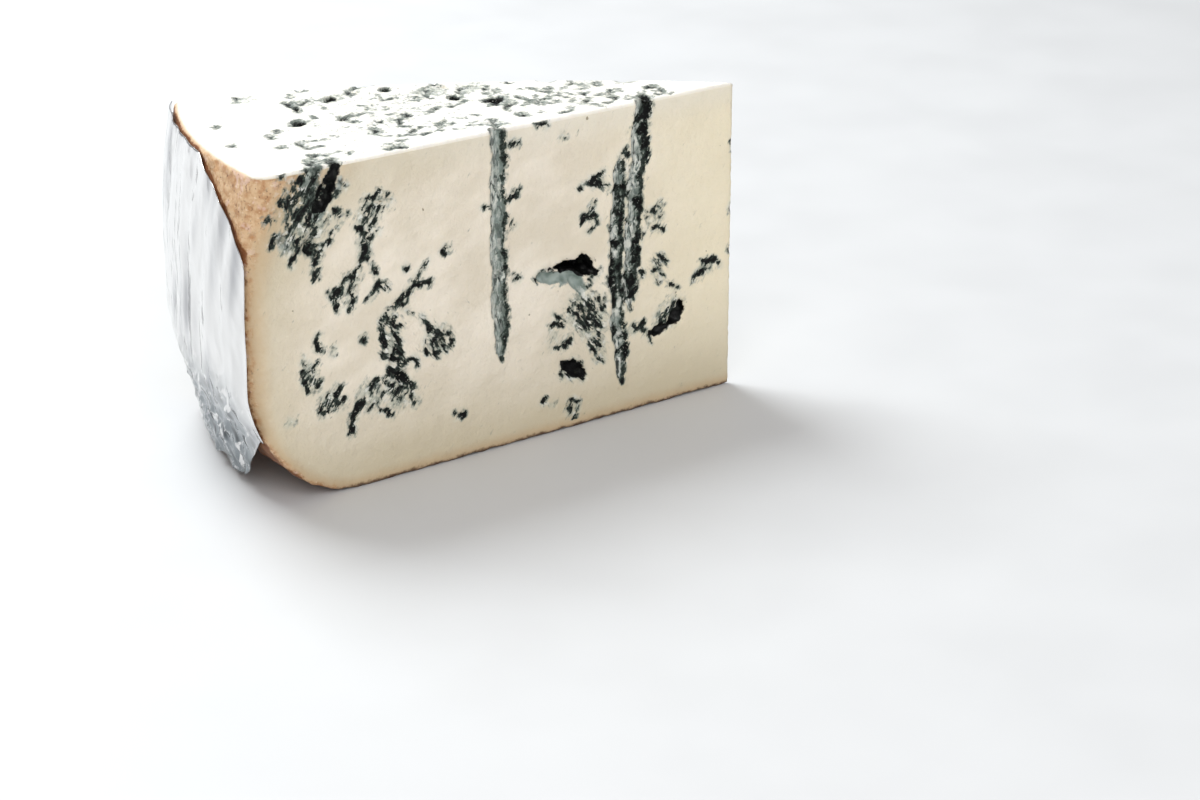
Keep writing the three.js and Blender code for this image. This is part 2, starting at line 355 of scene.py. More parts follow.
def grid_field():
    """The wedge's distances on a grid, with the grid's low corner."""
    low = np.array([-RIND_RADIUS, 0.0, 0.0]) - MARGIN
    high = low + np.array([RIND_RADIUS, WEDGE_HIGH[1] - WEDGE_LOW[1], HEIGHT]) + 2 * MARGIN
    axes = [np.arange(low[i], high[i], CELL[i]) for i in range(3)]
    shape = tuple(len(axis) for axis in axes)
    points = np.stack(np.meshgrid(*axes, indexing="ij"), axis=-1).reshape(-1, 3)
    return paste_distance(points).reshape(shape), low


def crossings(field, axis):
    """Grid edges along one axis that the surface crosses: their low ends, and the place along each."""
    start = np.moveaxis(field, axis, 0)[:-1]
    end = np.moveaxis(field, axis, 0)[1:]
    edges = np.argwhere((start < 0) != (end < 0))
    first, last = start[tuple(edges.T)], end[tuple(edges.T)]
    order = [axis] + [i for i in range(3) if i != axis]
    return edges[:, np.argsort(order)], first / (first - last), first < 0


def surface_net(field):
    """Vertices in grid units, and quads that face outwards."""
    shape = np.array(field.shape)
    strides = np.array([shape[1] * shape[2], shape[2], 1])
    total = np.zeros((field.size, 3))
    count = np.zeros(field.size)
    quads = []
    for axis in range(3):
        edges, part, leaving = crossings(field, axis)
        place = edges.astype(float)
        place[:, axis] += part
        u, v = strides[(axis + 1) % 3], strides[(axis + 2) % 3]
        home = edges @ strides
        ring = np.stack([home, home - u, home - u - v, home - v], axis=1)
        for cells in ring.T:
            count += np.bincount(cells, minlength=field.size)
            for i in range(3):
                total[:, i] += np.bincount(cells, place[:, i], minlength=field.size)
        quads.append(np.where(leaving[:, None], ring, ring[:, ::-1]))
    used = np.flatnonzero(count)
    index = np.full(field.size, -1)
    index[used] = np.arange(len(used))
    return total[used] / count[used, None], index[np.concatenate(quads)]


def gradient(distance, points, step=0.25):
    """Which way a distance grows, by small steps."""
    columns = []
    for i in range(3):
        shift = np.zeros(3)
        shift[i] = step
        columns.append(distance(points + shift) - distance(points - shift))
    slope = np.stack(columns, axis=1) / (2 * step)
    return slope / (np.linalg.norm(slope, axis=1, keepdims=True) + 1e-9)


def settle(points, rounds=2):
    """Moves points onto the surface, by no more than half a cell each time."""
    for _ in range(rounds):
        away = np.clip(paste_distance(points), -CELL[0] / 2, CELL[0] / 2)
        points = points - away[:, None] * gradient(paste_distance, points)
    return points


# Where the mould grows. Strokes are lines of points with a half width, colonies are ovals that hold dashes.
# On the front cut a place is x and z, on the top x and y, and on the back the distance to the tip and z.

BY_THE_BLUE_PIT = [
    (0.7, (-123.3, 84.5), (-124.5, 82.5), (-126.5, 80)), (1.7, (-126.6, 78), (-127.2, 76.6)),
    (0.3, (-121, 78.2), (-122.2, 77.5), (-125, 75.6)), (0.5, (-132.6, 82), (-135, 81), (-137.3, 75.8)),
    (0.3, (-128, 84), (-131.5, 79)), (0.3, (-130.5, 84.5), (-133.5, 80)),
    (0.25, (-129.5, 80.5), (-132.5, 76)), (0.35, (-138.7, 83.3), (-138.1, 83.3)),
    (0.4, (-139, 76.5), (-138.4, 77.4)), (0.6, (-142.3, 73), (-141.8, 73.6)),
    (0.35, (-137.8, 71.5), (-136.8, 70.5), (-134.8, 71.8), (-132.8, 73.8)),
    (0.5, (-132.3, 72.5), (-131.6, 70.5)), (0.45, (-141.2, 68.8), (-142, 66.6)),
    (0.45, (-135.3, 67), (-134.8, 65.5)), (0.4, (-134.9, 64.5), (-137, 61.3)),
    (0.4, (-129.7, 68.7), (-133.5, 65)), (1.0, (-131, 64.6), (-132, 64)),
    (0.35, (-130, 65), (-127.3, 64.2), (-125.8, 65)), (0.5, (-128.6, 63.3), (-130.1, 61)),
    (0.6, (-130.1, 61), (-130.4, 58.5), (-130.3, 56.8)), (0.3, (-120.3, 70.5), (-123, 69), (-125.5, 67.3)),
    (0.3, (-124.8, 73), (-123.4, 71), (-123, 69.8)),
]
STEEP_VEIN = [
    (0.5, (-109.5, 72.8), (-108.7, 71.2)), (0.35, (-111.6, 75), (-113.5, 73.3), (-116, 73.5)),
    (0.5, (-110.4, 70.2), (-112.5, 70.5)), (0.35, (-114.2, 71), (-115.8, 69.8)),
    (0.45, (-111.2, 70), (-113.5, 67.5), (-115.5, 65)),
    (0.45, (-118.8, 67.2), (-117.5, 66.2), (-116, 64.3)),
    (0.45, (-112.6, 64.6), (-115, 63.4), (-117, 64.5)),
    (0.7, (-116.6, 61.6), (-116.3, 59.6), (-117.3, 58.2)),
    (0.25, (-115.6, 58.5), (-114.2, 56.5), (-113.4, 54.4)),
    (0.5, (-117.8, 56.8), (-120, 55.3), (-122, 54.8), (-123, 53), (-125, 51.2)),
    (0.35, (-125.4, 52.9), (-124.8, 51)),
    (0.5, (-118.2, 54.2), (-120.3, 54.6), (-120.6, 51.5), (-119.8, 49.6), (-120.2, 48)),
    (0.35, (-126.7, 52.2), (-126.2, 51)), (0.35, (-125.1, 50.3), (-124.5, 47.6)),
    (0.4, (-121.7, 47.6), (-121.2, 46.6)),
]
LONG_VEIN = [
    (0.3, (-115.8, 48.3), (-114.5, 49.7), (-112.8, 52), (-111.3, 51.8), (-110.3, 50.3)),
    (0.35, (-105.2, 54), (-104.8, 54)), (0.3, (-98, 54.3), (-100.3, 52.3), (-102.8, 50.3)),
    (0.55, (-98.2, 48.9), (-99.8, 48.9)),
    (0.42, (-99.8, 49), (-102.5, 48.8), (-105.5, 47), (-110, 44.3), (-112.2, 42.6)),
    (0.22, (-106, 45.3), (-103.4, 42)),
    (0.5, (-110.3, 41.6), (-111.6, 40.5), (-111.8, 37.5), (-110.6, 35.2)),
    (0.55, (-108.6, 42), (-109, 40.2), (-107, 39.4)), (0.6, (-109, 37.5), (-107.3, 35.5), (-107.2, 32.5)),
    (0.8, (-108.7, 34), (-109, 31), (-107.5, 30.6)), (0.35, (-112.3, 33.5), (-111, 31.5)),
    (0.9, (-110.5, 28.7), (-108.5, 27.6), (-106.5, 25.8), (-105.2, 24.6)),
    (0.5, (-107.8, 29.6), (-105.5, 29.6), (-103, 30.3)), (0.4, (-102.4, 29.5), (-102, 28.2)),
    (0.35, (-105.2, 24.6), (-103.7, 23.6), (-103.9, 21.5)), (0.7, (-104.2, 20.5), (-103.3, 18.6)),
    (0.35, (-107.8, 23.4), (-105.5, 23)), (0.35, (-111.7, 26), (-109.5, 25)),
    (0.5, (-113.2, 18.8), (-111.3, 18.5), (-110.7, 17.3)), (0.5, (-114.5, 27), (-115.8, 24.4)),
    (0.55, (-117, 24.4), (-117.5, 22.4), (-119.5, 22)),
    (0.7, (-119.5, 22), (-121, 19.8), (-121.4, 17.5), (-122, 15)),
    (0.3, (-112.3, 23.3), (-114.5, 21), (-116.5, 20.2)), (0.4, (-100.6, 40.7), (-99, 37.8)),
    (0.6, (-98.8, 37), (-98.2, 35.6)), (0.4, (-99.5, 34), (-99.2, 30.8)),
    (0.6, (-96.5, 33.5), (-96.6, 30.3), (-94.3, 30.3)), (0.5, (-93.8, 31.5), (-94, 34.6)),
    (0.5, (-92.8, 34.8), (-91.7, 32.2)),
]
NEAR_THE_RIND = [
    (0.4, (-134.6, 36.9), (-134.5, 35.5)), (0.45, (-134.8, 33.5), (-134.8, 31), (-133.8, 28.8)),
    (0.35, (-130.8, 35.6), (-131.8, 34.8), (-132.2, 33.4)), (0.55, (-130.8, 30.5), (-131.3, 28.8)),
    (0.55, (-128.5, 26), (-127, 26.8), (-126, 25.8), (-124.9, 27.4)),
    (0.35, (-130, 24.8), (-130.5, 23), (-130, 21.4)), (0.45, (-127.8, 24.5), (-128.2, 22), (-130, 21.4)),
    (0.45, (-125.2, 23.3), (-123.6, 24.6)), (0.35, (-130, 42.5), (-131, 41.2), (-131, 39.6), (-130, 38.2)),
    (0.35, (-126.1, 38.3), (-126.3, 36.6)), (0.35, (-117.4, 38.8), (-117.3, 37.4)),
]
BY_THE_TRACKS = [
    (0.5, (-73.2, 79.6), (-71, 80.2)), (0.5, (-74.2, 65.3), (-73, 66.2), (-71.8, 66.4)),
    (0.3, (-72.4, 67.9), (-70.8, 67.5)), (0.25, (-81.4, 65), (-79.8, 64.2)),
    (0.35, (-73, 59.4), (-72.4, 58.8)), (0.5, (-72.2, 44.8), (-71.2, 44)),
    (0.55, (-65, 83.5), (-62.2, 83.2)), (0.7, (-93.6, 56), (-92.6, 56.4)),
    (0.4, (-57.2, 78.5), (-56.7, 78.2)), (0.35, (-51.8, 64.5), (-50, 65.3), (-47.5, 66), (-44.6, 67.5)),
    (0.4, (-48.5, 65), (-46, 65), (-45, 64), (-42.8, 63.2)), (0.4, (-47.2, 59.6), (-48.6, 57.3)),
    (0.35, (-49.8, 56.8), (-47.8, 56.6), (-46, 54.7)), (0.3, (-50.8, 57), (-51.1, 55.3)),
    (0.3, (-47.4, 53.4), (-49, 52.5)), (0.35, (-29.7, 54), (-27.3, 54.8), (-24.9, 55.6)),
    (0.35, (-26.2, 52.1), (-25.3, 52.1)), (0.35, (-28.4, 50), (-26, 49), (-24.8, 48.4)),
    (0.3, (-29.9, 53), (-29.5, 51)), (0.25, (-49.5, 39.5), (-45.5, 41)),
    (0.5, (-40.5, 61.5), (-37.5, 62.3)), (0.7, (-39, 59), (-38.9, 58)), (0.6, (-38.8, 56.5), (-38.8, 53.5)),
    (0.5, (-41.6, 52), (-41.9, 49), (-40.5, 47.2)), (0.7, (-40.5, 47.3), (-39, 46.3)),
    (0.6, (-41.3, 45.5), (-40.8, 41)), (0.5, (-40.3, 39.5), (-40, 30)), (0.45, (-39.8, 24), (-39, 17)),
    (0.5, (-37.5, 25), (-37.5, 15)), (0.45, (-38.8, 70.3), (-37.3, 71.8), (-36.2, 70.2)),
    (0.35, (-36, 62.5), (-35.5, 60)), (0.45, (-36.8, 53), (-34.5, 51)),
    (0.6, (-31.8, 84), (-29.6, 83), (-30.2, 79.8)), (0.4, (-30.2, 79.6), (-33.8, 78.2)),
    (0.6, (-30.5, 77.2), (-31, 75.3)), (0.5, (-30.2, 74.3), (-30.8, 68.3)),
    (0.45, (-33.2, 58), (-31.8, 55)), (0.5, (-32, 48.3), (-33.4, 46.4), (-33.5, 41)),
    (0.4, (-36, 37.5), (-34.8, 35), (-33.8, 35.5), (-34, 37.8)), (0.5, (-33.8, 34), (-36.6, 31)),
    (0.45, (-32, 38.2), (-31.4, 37.2)),
]
BELOW_THE_CRESCENT = [
    (0.25, (-60, 32.5), (-58.5, 31)), (0.4, (-61.2, 29.4), (-59, 29.2), (-57.2, 29)),
    (0.35, (-53.6, 34), (-52, 32.4)),
    (0.45, (-55, 33), (-53.2, 31.5), (-51.2, 29.6), (-49, 27), (-45.5, 26.5)),
    (0.3, (-50.5, 29.5), (-47.5, 28)), (0.4, (-46.8, 26), (-45.6, 23.4)),
    (0.75, (-57.2, 23.2), (-55.5, 24)), (0.4, (-55.5, 24), (-54.3, 25)), (0.2, (-60.5, 23.6), (-58, 22.7)),
    (0.55, (-44.1, 33.5), (-43.9, 31.4)), (0.3, (-46, 33.5), (-45.3, 30.5)),
    (0.45, (-42.8, 38.5), (-42.6, 36.5), (-41.5, 35.2)), (0.4, (-48.8, 22), (-47.6, 22.3)),
    (0.35, (-48, 20.5), (-46.8, 18.6)), (0.6, (-46, 17), (-45, 16.6)), (0.9, (-56.8, 16.8), (-54.6, 18)),
    (0.6, (-58, 15.5), (-55.5, 14.8), (-53.5, 15.5)), (0.8, (-53, 14.6), (-51.3, 13.2)),
    (0.15, (-51.2, 35), (-49.4, 38), (-46.2, 40.8)), (0.1, (-66, 42.6), (-65, 44.4), (-63, 45)),
    (0.45, (-56, 5.2), (-54.5, 5.4)), (0.4, (-54.8, 7.4), (-52.8, 6.5), (-53.7, 1.5)),
    (0.5, (-64, 9.4), (-63.6, 9.4)), (0.4, (-60.8, 8.4), (-60.5, 8.4)), (0.4, (-91, 12.2), (-89, 12)),
]
NEAR_THE_TIP = [
    (0.5, (-25.3, 41), (-23.8, 39)), (0.4, (-28.3, 37.4), (-27, 37.6)), (0.35, (-26.6, 37), (-25, 36)),
    (0.35, (-26.6, 34.6), (-26, 34.2)), (0.4, (-12, 37), (-8, 36.3), (-6, 35)),
    (0.6, (-10.4, 36.4), (-9.4, 36.2)), (0.55, (-14.2, 32.4), (-13, 33.3)), (0.4, (-12.6, 34), (-9, 34)),
    (0.6, (-21.9, 32.4), (-20.5, 31.6)), (0.5, (-34.2, 23.5), (-33.4, 22.3)),
    (0.4, (-31.2, 24.2), (-32, 22.3), (-30.5, 21)), (0.5, (-29, 20.5), (-28.4, 18.6)),
    (0.7, (-1.8, 67.5), (-1.2, 66)), (0.7, (-1.6, 50), (-1.2, 49)), (0.7, (-1.8, 38.3), (-1.2, 37.8)),
]
FRONT_STROKES = (
    BY_THE_BLUE_PIT + STEEP_VEIN + LONG_VEIN + NEAR_THE_RIND + BY_THE_TRACKS
    + BELOW_THE_CRESCENT + NEAR_THE_TIP
)

# Half width, half height, a turn in degrees, how dense, and which way its dashes lean: 1 right, 0 left
FRONT_COLONIES = [
    (-132.5, 74, 8.5, 10, 20, 0.95, 1), (-136, 67.5, 6, 5, 0, 0.8, 1), (-115, 69, 4.5, 4.5, 40, 0.8, 1),
    (-116.5, 62, 3, 6, 0, 0.75, 1), (-122, 52, 5, 4, 30, 0.75, 1), (-109, 36, 4, 8, 0, 0.75, 0),
    (-96, 33.5, 5.5, 5, 0, 0.85, 0), (-133, 32, 2.8, 5.5, 0, 0.75, 1), (-127, 24.5, 5.5, 4, -15, 0.8, 1),
    (-116, 23.5, 5, 5, 45, 0.75, 1), (-107.5, 22, 6, 5, 0, 0.8, 1), (-47.5, 65.5, 5, 2.5, 0, 0.6, 0),
    (-48.5, 56, 3, 3.5, 0, 0.6, 1), (-49.5, 30, 8.5, 6.5, -40, 0.95, 0), (-46.5, 21, 3.5, 6, 0, 0.7, 0),
    (-54.5, 16, 4.5, 3.5, -20, 0.85, 0), (-54.5, 6, 3, 3.5, 0, 0.7, 1), (-27, 52.5, 3, 4.5, 0, 0.6, 1),
    (-26.5, 38.5, 3.2, 4.5, 0, 0.75, 0), (-10.5, 34.7, 5, 2.6, 20, 0.85, 1),
    (-23, 24.5, 6.5, 4.5, 35, 0.9, 1),
    (-34, 23, 4, 3, 0, 0.6, 1), (-38.5, 34, 4, 14, 0, 0.5, 1), (-35.5, 62, 5.5, 16, 0, 0.5, 1),
    (-76.6, 54, 3, 34, 0, 0.4, 1), (-105, 47, 8, 2.5, 35, 0.45, 1), (-60, 26, 4, 5, 0, 0.5, 1),
    (-139, 22, 3, 2.5, 0, 0.5, 1), (-63.5, 83.5, 3, 1.5, 0, 0.6, 1),
]

TOP_STROKES = [
    (1.6, (-113.3, 33.8), (-111.7, 35.4)), (1.2, (-102.2, 31.4), (-100.8, 32.8)),
    (0.6, (-107.2, 43.5), (-105, 48)), (0.7, (-106, 49), (-105.6, 53)),
    (0.6, (-103.5, 49.5), (-99.5, 51.5)), (0.9, (-96.5, 48), (-93, 50.5)), (0.7, (-88, 51.5), (-83, 55)),
    (1.2, (-78.8, 48), (-77.8, 49.4)), (0.9, (-96, 61), (-95.4, 66.5)), (0.5, (-114.3, 62), (-113, 64)),
    (0.4, (-101.5, 57), (-100, 59)), (0.8, (-73.2, 34.5), (-72.6, 37.5)), (0.6, (-72, 40), (-68.5, 43.5)),
    (0.5, (-66, 44.5), (-62.5, 48)), (1.2, (-69, 30.6), (-67.6, 32)),
    (0.6, (-65, 34), (-63, 37), (-58, 37.6)), (0.5, (-57.6, 33), (-55.5, 35)),
    (0.7, (-49, 35), (-46.2, 36.4)), (2.0, (-62.6, 23.6), (-59.8, 23.8)), (1.0, (-63.6, 19.5), (-62, 22)),
    (0.8, (-63.2, 15.5), (-60, 17.8)), (0.5, (-54.5, 14.5), (-51.5, 17.5)),
    (0.9, (-87.6, 24.3), (-86.6, 25.6)), (0.9, (-96, 23.6), (-95, 24.6)), (0.4, (-93, 19), (-91, 22)),
    (0.4, (-81, 24), (-77.5, 26)), (0.4, (-74, 24.5), (-68, 27)), (0.8, (-103, 15.6), (-100.4, 17.6)),
    (0.7, (-86, 12), (-84, 14)), (0.4, (-95.4, 11), (-94.6, 12)), (0.5, (-93.6, 7.8), (-91.6, 8.6)),
    (0.7, (-73, 7.6), (-71.8, 8.4)), (0.6, (-75.5, 2.5), (-72.8, 9)), (0.9, (-64.5, 7.4), (-62.4, 8.8)),
    (1.1, (-106.2, 3), (-104, 2.4)), (0.5, (-104, -1), (-102.6, 2)), (0.5, (-117, 4.6), (-116, 5.4)),
    (0.7, (-124.6, 8), (-123.6, 9.4)), (1.1, (-129, 3), (-127, 4.6)), (0.9, (-126, -1), (-122.6, 3.6)),
    (0.6, (-122.2, 14.5), (-121.4, 20)), (0.6, (-124.8, 27), (-124.2, 29)),
    (0.4, (-127.4, 18.6), (-126.6, 19.6)), (0.5, (-121.6, 30.4), (-120.6, 31.6)),
    (0.4, (-136, 27), (-135, 29)), (0.4, (-131, 43), (-130.6, 45)), (0.6, (-44.4, 7.6), (-42.8, 9)),
    (0.7, (-36, 6), (-35, 7)), (0.4, (-34, 10.5), (-32, 13)), (0.6, (-32, 19), (-30.6, 21)),
    (0.7, (-37.4, 24), (-34.6, 25.4)), (0.4, (-27, 23), (-26, 25)), (1.5, (-23.8, 18.4), (-22.2, 19.8)),
    (0.8, (-22, 8.4), (-20.8, 9.4)), (0.9, (-31, 0.5), (-28.4, 4)),
]
TOP_COLONIES = [
    (-102, 50, 6, 4, 30, 0.8, 1), (-94, 49, 6, 4, 20, 0.75, 1), (-85, 53, 5, 3, 20, 0.65, 1),
    (-70, 40, 8, 6, 30, 0.7, 1), (-60, 37, 7, 5, 30, 0.65, 1), (-61, 22, 5, 6, 20, 0.8, 1),
    (-76, 26, 14, 3, 0, 0.55, 1), (-92, 22, 5, 5, 30, 0.6, 1), (-102, 16, 4, 3, 20, 0.65, 1),
    (-85, 13, 4, 3, 30, 0.6, 1), (-126, 4, 5, 5, 0, 0.85, 1), (-122, 17, 3, 5, 0, 0.6, 1),
    (-105, 3, 5, 3.5, 0, 0.75, 1), (-74, 5, 4, 6, 20, 0.7, 1), (-53, 16, 4, 3, 20, 0.65, 1),
    (-30, 3, 4, 4, 20, 0.8, 1), (-23, 19, 5, 4, 20, 0.75, 1), (-34, 22, 6, 4, 20, 0.6, 1),
    (-113, 62, 5, 4, 20, 0.6, 1), (-95.5, 64, 3, 4, 0, 0.7, 1), (-112.5, 34.5, 4, 4, 0, 0.75, 1),
    (-68, 31, 4, 3, 0, 0.7, 1), (-63.5, 8, 4, 3, 0, 0.65, 1), (-48, 35.5, 4, 3, 0, 0.6, 1),
    (-90, 30, 40, 24, 30, 0.35, 1),
]

BACK_STROKES = [
    (0.7, (30, 48), (25, 56), (26, 60)), (0.6, (64, 66), (72, 60), (74, 54)), (0.5, (70, 60), (80, 64)),
    (0.8, (112, 62), (119, 57), (121, 50)), (0.6, (120, 40), (127, 33)), (0.6, (72, 30), (80, 23)),
    (0.5, (84, 76), (92, 82)), (0.6, (130, 72), (124, 78)), (0.5, (36, 26), (42, 20)),
    (0.5, (104, 20), (112, 16)), (0.5, (16, 70), (12, 78)),
]
BACK_COLONIES = [
    (28, 52, 8, 8, 20, 0.9, 1), (70, 61, 10, 6, 20, 0.85, 0), (117, 58, 9, 9, 0, 0.9, 1),
    (123, 36, 6, 7, 0, 0.85, 1), (76, 27, 9, 6, 0, 0.85, 0), (88, 78, 9, 5, 0, 0.8, 1),
    (126, 76, 8, 6, 30, 0.85, 1), (40, 24, 7, 6, 0, 0.75, 1), (107, 18, 8, 5, 0, 0.75, 0),
    (14, 74, 5, 7, 0, 0.7, 1), (50, 40, 5, 20, 0, 0.7, 1), (98, 55, 5, 18, 0, 0.7, 0),
]


def scattered_strokes(count, seed):
    """Short faint strokes all over the top."""
    rng = np.random.default_rng(seed)
    strokes = []
    for _ in range(count):
        angle, distance = rng.uniform(0.04, WEDGE_ANGLE - 0.02), rng.uniform(22, 122)
        middle = distance * np.array([-math.cos(angle), math.sin(angle)])
        turn, reach = rng.uniform(0, math.pi), rng.uniform(0.4, 2.4)
        step = reach * np.array([math.cos(turn), math.sin(turn)])
        strokes.append((rng.uniform(-0.15, 0.4), tuple(middle - step), tuple(middle + step)))
    return strokes


def stroke_depth(u, v, strokes):
    """How deep inside the nearest stroke a place lies, in millimetres: negative outside."""
    best = np.full(len(u), -9.0)
    for half_width, *corners in strokes:
        for (u0, v0), (u1, v1) in zip(corners, corners[1:]):
            run = np.array([u1 - u0, v1 - v0])
            part = np.clip(((u - u0) * run[0] + (v - v0) * run[1]) / (run @ run), 0, 1)
            away = np.hypot(u - u0 - part * run[0], v - v0 - part * run[1])
            best = np.maximum(best, half_width - away)
    return best


def colony_fields(u, v, colonies):
    """How dense the mould's dashes are at a place, from 0 to 1, and which way they lean."""
    density = np.zeros(len(u))
    lean = np.full(len(u), 1.0)
    for middle_u, middle_v, reach_u, reach_v, turn, strength, leaning in colonies:
        angle = math.radians(turn)
        du, dv = u - middle_u, v - middle_v
        along = (du * math.cos(angle) + dv * math.sin(angle)) / reach_u
        across = (dv * math.cos(angle) - du * math.sin(angle)) / reach_v
        value = strength * np.exp(-1.2 * (along**2 + across**2) ** 1.3)
        lean = np.where(value > density, leaning, lean)
        density = np.maximum(density, value)
    return density, lean


def mould_fields(points, normals):
    """Stroke depth, colony density and lean for every vertex, by the cut that it belongs to."""
    x, y, z = points.T
    tip_distance = y * math.sin(WEDGE_ANGLE) - x * math.cos(WEDGE_ANGLE)
    sides = [
        (np.abs(y) - 1.0 * (normals[:, 1] < -0.3), x, z, FRONT_STROKES, FRONT_COLONIES),
        (np.abs(HEIGHT - z), x, y, TOP_STROKES + scattered_strokes(110, 81), TOP_COLONIES),
        (np.abs(back_distance(points)), tip_distance, z, BACK_STROKES, BACK_COLONIES),
    ]
    closest = np.argmin([side[0] for side in sides], axis=0)
    stroke = np.zeros(len(points))
    density = np.zeros(len(points))
    lean = np.zeros(len(points))
    for i, (_, u, v, strokes, colonies) in enumerate(sides):
        here = closest == i
        stroke[here] = stroke_depth(u[here], v[here], strokes)
        density[here], lean[here] = colony_fields(u[here], v[here], colonies)
    return stroke, density, lean


# Meshes and materials


def make_mesh(name, points, faces, material, fields):
    """A smooth mesh from millimetres, with one float for each vertex in every named field."""
    mesh = bpy.data.meshes.new(name)
    mesh.from_pydata(in_frame(points).tolist(), [], faces.tolist())
    mesh.validate()
    mesh.polygons.foreach_set("use_smooth", [True] * len(mesh.polygons))
    for field_name, values in fields.items():
        mesh.attributes.new(field_name, "FLOAT", "POINT").data.foreach_set("value", values)
    mesh.materials.append(material)
    mesh.update()
    piece = bpy.data.objects.new(name, mesh)
    bpy.context.scene.collection.objects.link(piece)
    return piece


def tint(red, green, blue):
    """A colour as the screen shows it, from 0 to 255, turned into the shader's own values."""
    linear = [(c / 255 / 12.92 if c < 11 else ((c / 255 + 0.055) / 1.055) ** 2.4) for c in (red, green, blue)]
    return (*linear, 1.0)


class Graph:
    """Builds a material's nodes with short calls. Places are in millimetres in the frame."""

    def __init__(self, name):
        self.material = bpy.data.materials.new(name)
        self.material.use_nodes = True
        self.tree = self.material.node_tree
        self.shader = self.tree.nodes["Principled BSDF"]
        place = self.tree.nodes.new("ShaderNodeTexCoord").outputs["Object"]
        scaled = self.node("VectorMath", {0: place, "Scale": 1 / MM}, operation="SCALE")
        self.place = scaled.outputs[0]

    def feed(self, socket, value):
        if isinstance(value, bpy.types.NodeSocket):
            self.tree.links.new(value, socket)
        else:
            socket.default_value = value

    def node(self, kind, inputs, **settings):
        node = self.tree.nodes.new("ShaderNode" + kind)
        for name, value in settings.items():
            setattr(node, name, value)
        for key, value in inputs.items():
            self.feed(node.inputs[key], value)
        return node

    def math(self, operation, *values):
        return self.node("Math", dict(enumerate(values)), operation=operation).outputs[0]

    def plus(self, first, second):
        return self.math("ADD", first, second)

    def times(self, first, second):
        return self.math("MULTIPLY", first, second)

    def swing(self, noise, strength, middle=0.5):
        """A noise's swing to either side of its middle."""
        return self.times(self.math("SUBTRACT", noise, middle), strength)

    def height(self):
        return self.node("SeparateXYZ", {0: self.place}).outputs[2]

    def topside(self):
        """1 on the top face and 0 below it."""
        return self.rise(self.height(), HEIGHT - 1.0, HEIGHT - 0.2)

    def rise(self, value, low, high, start=0.0, end=1.0):
        """Rises smoothly from start to end while the value goes from low to high."""
        inputs = {"Value": value, "From Min": low, "From Max": high, "To Min": start, "To Max": end}
        return self.node("MapRange", inputs, interpolation_type="SMOOTHSTEP").outputs[0]

    def noise(self, size, place=None, detail=3.0, roughness=0.55, distortion=0.0):
        inputs = {
            "Vector": place or self.place, "Scale": 1 / size, "Detail": detail,
            "Roughness": roughness, "Distortion": distortion,
        }
        return self.node("TexNoise", inputs).outputs[0]

    def facets(self, size, place):
        """Cones that meet in sharp creases, about size apart."""
        return self.node("TexVoronoi", {"Vector": place, "Scale": 1 / size}).outputs["Distance"]

    def stretched(self, scale, turn=(0.0, 0.0, 0.0)):
        """The place, measured with a stretched and turned ruler."""
        inputs = {"Vector": self.place, "Rotation": turn, "Scale": scale}
        return self.node("Mapping", inputs, vector_type="TEXTURE").outputs[0]

    def mix(self, factor, first, second):
        node = self.node("Mix", {0: factor, 6: first, 7: second}, data_type="RGBA")
        return node.outputs[2]

    def blend(self, factor, first, second):
        return self.node("Mix", {0: factor, 2: first, 3: second}, data_type="FLOAT").outputs[0]

    def field(self, name):
        return self.node("Attribute", {}, attribute_name=name).outputs["Fac"]

    def bump(self, height, distance, strength=1.0, below=None):
        inputs = {"Height": height, "Distance": distance * MM, "Strength": strength}
        if below is not None:
            inputs["Normal"] = below
        return self.node("Bump", inputs).outputs[0]


# Colours as the screen shows them, in pairs where a noise mixes two

CREAM = tint(227, 216, 196), tint(241, 231, 214)
TIP_CREAM = tint(242, 230, 200)
FOOT_PAINTED_SHADE = tint(205, 194, 168)
TOP_EDGE_PAINTED_LIGHT = tint(248, 243, 230)  # painted light along the top edges of the cuts
GRAIN_CREAM = tint(190, 180, 158)
UNDER_RIND_AND_PAINTED_SHADE = tint(202, 189, 160)  # the browner paste under the rind, partly painted shade
TOP_FACE_PAINTED_LIGHT = tint(240, 236, 230)
UNDER_CRUST = tint(194, 168, 132)
CRUST = tint(182, 137, 96), tint(213, 181, 143)
PINK_FLECK = tint(222, 192, 178)
PALE_FLECK = tint(230, 208, 178)
CRUST_PIT = tint(104, 66, 42)
FOIL_EDGE_PAINTED_SHADOW = tint(116, 62, 30)
BASE_PAINTED_SHADOW = tint(62, 44, 32)
BROWN_SPECK = tint(112, 98, 66)
TRACK_SLATE_LIT_AND_SHADED = tint(216, 220, 212), tint(118, 130, 124)  # painted light on a track's left wall and painted shade on its right
TRACK_WALL_PAINTED_HIGHLIGHT = tint(220, 221, 211)
LIGHT_THREAD = tint(224, 224, 214)
DARK_THREAD = tint(24, 30, 26)
SMOKE = tint(46, 53, 48), tint(178, 184, 176)
FLOOR_SLATE = tint(116, 130, 123), tint(168, 178, 171)
HALO = tint(196, 199, 184)
WISP = tint(112, 122, 113)
CRUMB = tint(233, 232, 224)
MOULD = tint(5, 6, 5), tint(58, 68, 61)  # at its core and at its edge
TOP_MOULD_PAINTED_GLARE = tint(92, 99, 93)
HOLLOW_SHADE_AND_MOULD = tint(2, 2, 2), tint(34, 37, 33)
FOIL_PAINTED_FACET_SHADE = tint(182, 182, 184), tint(226, 225, 224)
FOIL_PAINTED_DARK_REFLECTION = tint(44, 51, 56), tint(122, 129, 133)
FLOOR = tint(202, 202, 202), tint(208, 208, 208)

# The mould's dashes: how their ruler is stretched, and their lean to the left and right
DASH_STRETCH = (0.85, 1.2, 2.2)
DASH_LEANS = math.radians(-42), math.radians(38)


